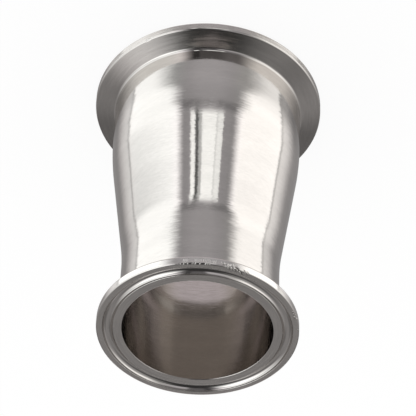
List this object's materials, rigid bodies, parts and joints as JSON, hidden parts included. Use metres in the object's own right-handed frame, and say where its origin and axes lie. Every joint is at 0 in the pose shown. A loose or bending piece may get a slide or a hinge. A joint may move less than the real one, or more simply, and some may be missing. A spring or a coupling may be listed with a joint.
{
  "type": "ferrule adapter",
  "caption": "Concentric reducing adapter for sanitary tubing, with a grooved clamp ferrule at each end and a smooth tapered bore.",
  "frame": {"origin": "centre of the large ferrule's face, on which the adapter stands", "axes": "+Z along the flow axis towards the small ferrule; +X and +Y lie across it, and any turn about Z gives the same part"},
  "size_m": [0.0776, 0.0774, 0.102],
  "materials": {
    "stainless_steel": "satin, brushed around the tube, with turned flange faces and polished necks"
  },
  "bodies": {
    "root": {"adapter_body": "stainless_steel"}
  },
  "joints": []
}
